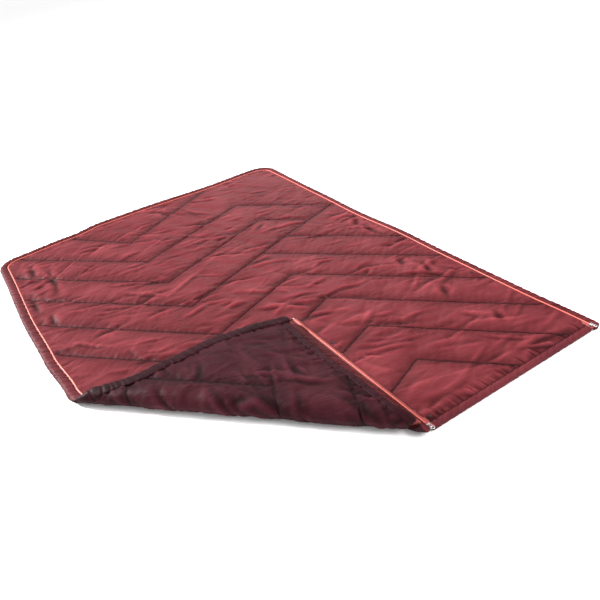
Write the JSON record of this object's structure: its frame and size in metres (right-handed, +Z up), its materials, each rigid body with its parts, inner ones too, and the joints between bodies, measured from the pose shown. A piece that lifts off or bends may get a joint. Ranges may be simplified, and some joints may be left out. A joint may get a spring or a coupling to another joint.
{
  "type": "camp blanket",
  "caption": "Rectangular padded camp blanket with a full-length zip, opened flat, one corner folded over to show its lining.",
  "frame": {"origin": "on the ground under the middle of the opened blanket's outline", "axes": "+X across the blanket to its right side, +Y from the head edge to the foot, +Z up; the front left corner (-X, -Y) is the one that is folded over"},
  "size_m": [1.53, 2.169, 0.0779],
  "materials": {
    "shell_cloth": "semi-matte plain weave, quilted",
    "lining_cloth": "smooth downproof cloth with a soft sheen",
    "wadding": "white hollow fibre",
    "coral_coil": "satin polyester coil",
    "zip_tape": "woven herringbone tape",
    "zip_metal": "die-cast, bright nickel",
    "elastic_cord": "braided round elastic",
    "black_plastic": "moulded"
  },
  "bodies": {
    "blanket": {"foot_joiner": "black_plastic", "insulation": "wadding", "left_corner_guard": "shell_cloth", "left_foot_guard": "shell_cloth", "left_side_guard": "shell_cloth", "left_zip_coil": "coral_coil", "left_zip_tape": "zip_tape", "lining": "lining_cloth", "outer_shell": "shell_cloth", "press_studs": "black_plastic", "right_corner_guard": "shell_cloth", "right_elastic": "elastic_cord", "right_foot_guard": "shell_cloth", "right_head_hem": "shell_cloth", "right_side_guard": "shell_cloth", "right_top_stop": "zip_metal", "right_zip_coil": "coral_coil", "right_zip_tape": "zip_tape", "slit_coil_left": "coral_coil", "slit_coil_right": "coral_coil", "slit_end_stop": "zip_metal", "slit_guard": "shell_cloth", "slit_tape_left": "zip_tape", "slit_tape_right": "zip_tape", "slit_top_stop": "zip_metal"},
    "fold": {"fold_insulation": "wadding", "fold_lining": "lining_cloth", "fold_shell": "shell_cloth", "fold_side_guard": "shell_cloth", "fold_zip_coil": "coral_coil", "fold_zip_tape": "zip_tape"},
    "corner": {"corner_elastic": "elastic_cord", "corner_head_hem": "shell_cloth", "corner_insulation": "wadding", "corner_lining": "lining_cloth", "corner_shell": "shell_cloth", "corner_side_guard": "shell_cloth", "corner_top_stop": "zip_metal", "corner_zip_coil": "coral_coil", "corner_zip_tape": "zip_tape"},
    "right_slider": {"right_slider": "zip_metal"},
    "right_pull": {"right_pull": "zip_metal"},
    "slit_slider": {"slit_slider": "zip_metal"},
    "slit_pull": {"slit_pull": "zip_metal"},
    "corner_slider": {"corner_slider": "zip_metal"},
    "corner_pull": {"corner_pull": "zip_metal"}
  },
  "joints": [
    {"name": "fold_lower", "type": "hinge", "parent": "blanket", "child": "fold", "pos_m": [-0.3447, -0.67943, 0.01796], "axis": [0.6858, -0.7278, 0], "range_deg": [0, 91.2]},
    {"name": "fold_upper", "type": "hinge", "parent": "fold", "child": "corner", "pos_m": [-0.34405, -0.67881, 0.06092], "axis": [0.6858, -0.7278, 0], "range_deg": [0, 91.2]},
    {"name": "right_slide", "type": "slide", "parent": "blanket", "child": "right_slider", "axis": [0, 1, 0], "range_m": [0, 2]},
    {"name": "right_pull_turn", "type": "hinge", "parent": "right_slider", "child": "right_pull", "pos_m": [0.7215, -1.0645, 0.0255], "axis": [-1, 0, 0], "range_deg": [0, 180]},
    {"name": "slit_slide", "type": "slide", "parent": "blanket", "child": "slit_slider", "axis": [0, 1, 0], "range_m": [0, 0.675]},
    {"name": "slit_pull_turn", "type": "hinge", "parent": "slit_slider", "child": "slit_pull", "pos_m": [0.037, -1.0645, 0.0255], "axis": [-1, 0, 0], "range_deg": [0, 180]},
    {"name": "corner_slide", "type": "slide", "parent": "corner", "child": "corner_slider", "axis": [-0.9945, 0.101, 0.0274], "range_m": [0, 0.55]},
    {"name": "corner_pull_turn", "type": "hinge", "parent": "corner_slider", "child": "corner_pull", "pos_m": [-0.01674, -0.39811, 0.03532], "axis": [0.1001, 0.9945, -0.0316], "range_deg": [0, 50]}
  ],
  "couplings": [
    {"joint": "fold_upper", "follows": "fold_lower", "ratio": 1}
  ]
}
